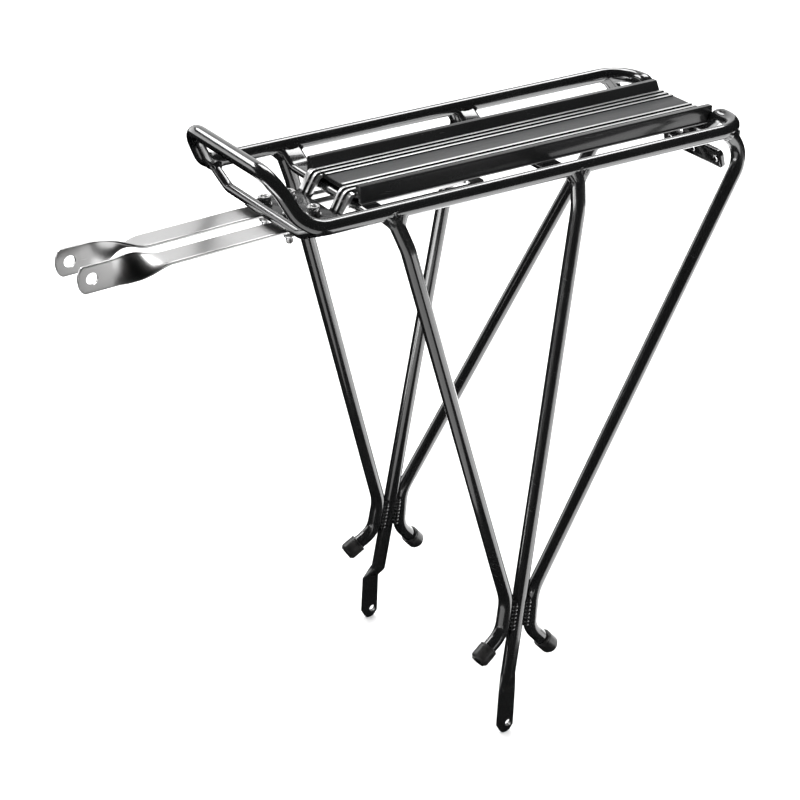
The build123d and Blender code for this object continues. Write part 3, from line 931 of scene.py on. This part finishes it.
# ---- closing beads ------------------------------------------------------------------------------
BUTT_HALF = 2.5
BUTT_RISE = 0.65
BUTT_SIDES = 120
BUTT_RIPPLE = 0.025
butt = []
for y in (-2.6, -2.45, -2.1, -1.5, -0.8, 0.0, 0.8, 1.5, 2.1, 2.45, 2.6):
    root = abs(y) > BUTT_HALF
    crown = TUBE_R + 0.1 + BUTT_RISE * sqrt(max(1 - (y / BUTT_HALF) ** 2, 0))
    butt.append((TUBE_R - 1.5 if root else crown, y))
rings = []
for k in range(BUTT_SIDES):
    angle = 2 * pi * k / BUTT_SIDES
    lift = 1 + BUTT_RIPPLE * abs(sin(angle * 7))
    out = Vector((cos(angle), 0, sin(angle)))
    rings.append([Vector((REAR_X, y, CROSS_Z)) + out * radius * lift for radius, y in butt])
closing_weld = skin("loop_closing_weld", rings, WELD_PAINT, closed=True)
declare(closing_weld, "rack", "black_alloy", "loop_butt_weld")

BRACKET_HALF = 7.0
bracket_lines = []
for x, z in ((205.6, 377.6), (203.0, 375.5)):
    bracket_lines.append([(x, -BRACKET_HALF, z), (x, BRACKET_HALF, z)])
bead("bracket_beads", bracket_lines, 1.5, 2.2)

# ---- floor and light, in metres -----------------------------------------------------------------
FLOOR_HALF = 9.0
FLOOR_GAP = 0.0003
bm = bmesh.new()
bmesh.ops.create_grid(bm, x_segments=1, y_segments=1, size=FLOOR_HALF)
pale = Finish("pale_floor", {"Roughness": 0.7})
ground = as_piece("floor", bm, pale.done(Base_Color=pale.mix(pale.grain(0.6), grey(0.86), grey(0.9))))
ground.location.z = cad_box[0].z - FLOOR_GAP
ground.visible_glossy = False

scene = bpy.context.scene
scene.view_settings.view_transform = "Standard"
world = bpy.data.worlds.new("studio")
world.use_nodes = True
world.node_tree.nodes["Background"].inputs[0].default_value = grey(0.9)
world.cycles_visibility.glossy = False
scene.world = world


def softbox(name, radiance, spot, target, size, diffuse=True):
    """A rectangular lamp; a card that only shows in gloss has diffuse turned off."""
    data = bpy.data.lights.new(name, "AREA")
    data.shape = "RECTANGLE"
    data.size, data.size_y = size
    data.energy = radiance * pi * size[0] * size[1]
    made = bpy.data.objects.new(name, data)
    scene.collection.objects.link(made)
    made.location = spot
    made.rotation_euler = (Vector(target) - Vector(spot)).to_track_quat("-Z", "Y").to_euler()
    made.visible_camera = False
    made.visible_diffuse = diffuse


softbox("back_wall_right", 1.0, (1.15, 1.7, 0.95), (1.15, 0.0, 0.95), (2.5, 1.5))
softbox("back_wall_left", 1.9, (-1.2, 1.7, 0.55), (-1.2, 0.0, 0.55), (2.2, 0.8))
softbox("overhead_softbox", 8.0, (0.8, 0.8, 1.75), (0.8, 0.0, 0.35), (1.4, 0.7))
softbox("hoop_softbox", 9.0, (-0.6, 1.4, 1.4), (-0.15, 0.0, 0.4), (1.0, 0.4))
softbox("left_card_near", 1.3, (-0.5, -0.3, 0.02), (-0.5, -0.3, 1.0), (0.7, 0.6), False)
softbox("left_card_far", 8.0, (-1.5, -0.1, 0.02), (-1.5, -0.1, 1.0), (1.2, 1.2), False)
softbox("right_card", 2.8, (0.65, -0.3, 0.02), (0.65, -0.3, 1.0), (1.1, 1.3), False)
sky = bpy.data.objects.new("sky_fill", bpy.data.lights.new("sky_fill", "SUN"))
scene.collection.objects.link(sky)
sky.data.energy = 1.6
sky.data.angle = radians(80)  # wide, so that it casts no hard shadow
sky.rotation_euler = (radians(12), radians(8), 0)
sky.visible_glossy = False
